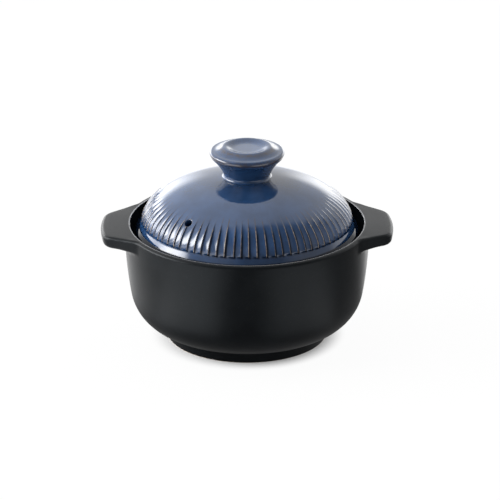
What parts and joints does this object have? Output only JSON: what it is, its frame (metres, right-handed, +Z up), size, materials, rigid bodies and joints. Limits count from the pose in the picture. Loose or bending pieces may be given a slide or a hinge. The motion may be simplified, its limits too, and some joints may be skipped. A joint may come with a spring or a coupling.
{
  "type": "ceramic cooking pot",
  "caption": "Round black stoneware cooking pot with a foot ring and flat side lugs, closed by a glazed blue domed lid with carved flutes, a flared knob and a steam hole.",
  "frame": {"origin": "centre of the foot ring, on the surface that the pot stands on", "axes": "+Z up, +X through the right lug, -Y towards the front, where the steam hole is"},
  "size_m": [0.2152, 0.18, 0.1474],
  "materials": {
    "pot_glaze": "satin black heatproof glaze on stoneware",
    "lid_glaze": "glossy deep blue glaze that breaks to brown on edges"
  },
  "bodies": {
    "pot": {"pot_body": "pot_glaze", "left_lug": "pot_glaze", "right_lug": "pot_glaze"},
    "lid": {"lid_dome": "lid_glaze", "lid_knob": "lid_glaze"}
  },
  "joints": [
    {"name": "lid_lift", "type": "slide", "parent": "pot", "child": "lid", "axis": [0, 0, 1], "range_m": [0, 0.12]}
  ]
}
